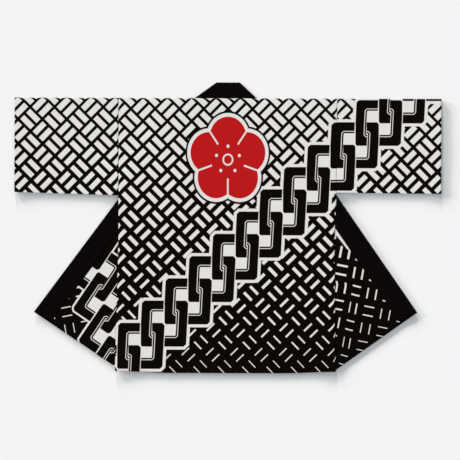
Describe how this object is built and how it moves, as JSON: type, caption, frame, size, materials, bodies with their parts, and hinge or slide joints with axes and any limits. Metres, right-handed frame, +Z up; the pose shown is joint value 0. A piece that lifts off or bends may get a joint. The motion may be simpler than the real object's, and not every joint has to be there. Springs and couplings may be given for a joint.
{
  "type": "happi coat",
  "caption": "Straight-cut short festival coat with tube sleeves and a long collar band, laid flat with its back up and its fronts folded outwards beneath it.",
  "frame": {"origin": "middle of the laid coat's footprint, at the height of the surface it lies on", "axes": "+X across the coat from cuff to cuff, +Y from the hem to the neck, +Z up, away from the surface, towards the outside of the back"},
  "size_m": [1.28, 0.867, 0.005],
  "materials": {
    "printed_cotton": "plain-woven cotton printed black on white",
    "collar_cotton": "plain-woven cotton dyed black"
  },
  "bodies": {
    "root": {"back": "printed_cotton", "front_left": "printed_cotton", "front_right": "printed_cotton", "sleeve_left": "printed_cotton", "sleeve_right": "printed_cotton", "collar": "collar_cotton"}
  },
  "joints": []
}
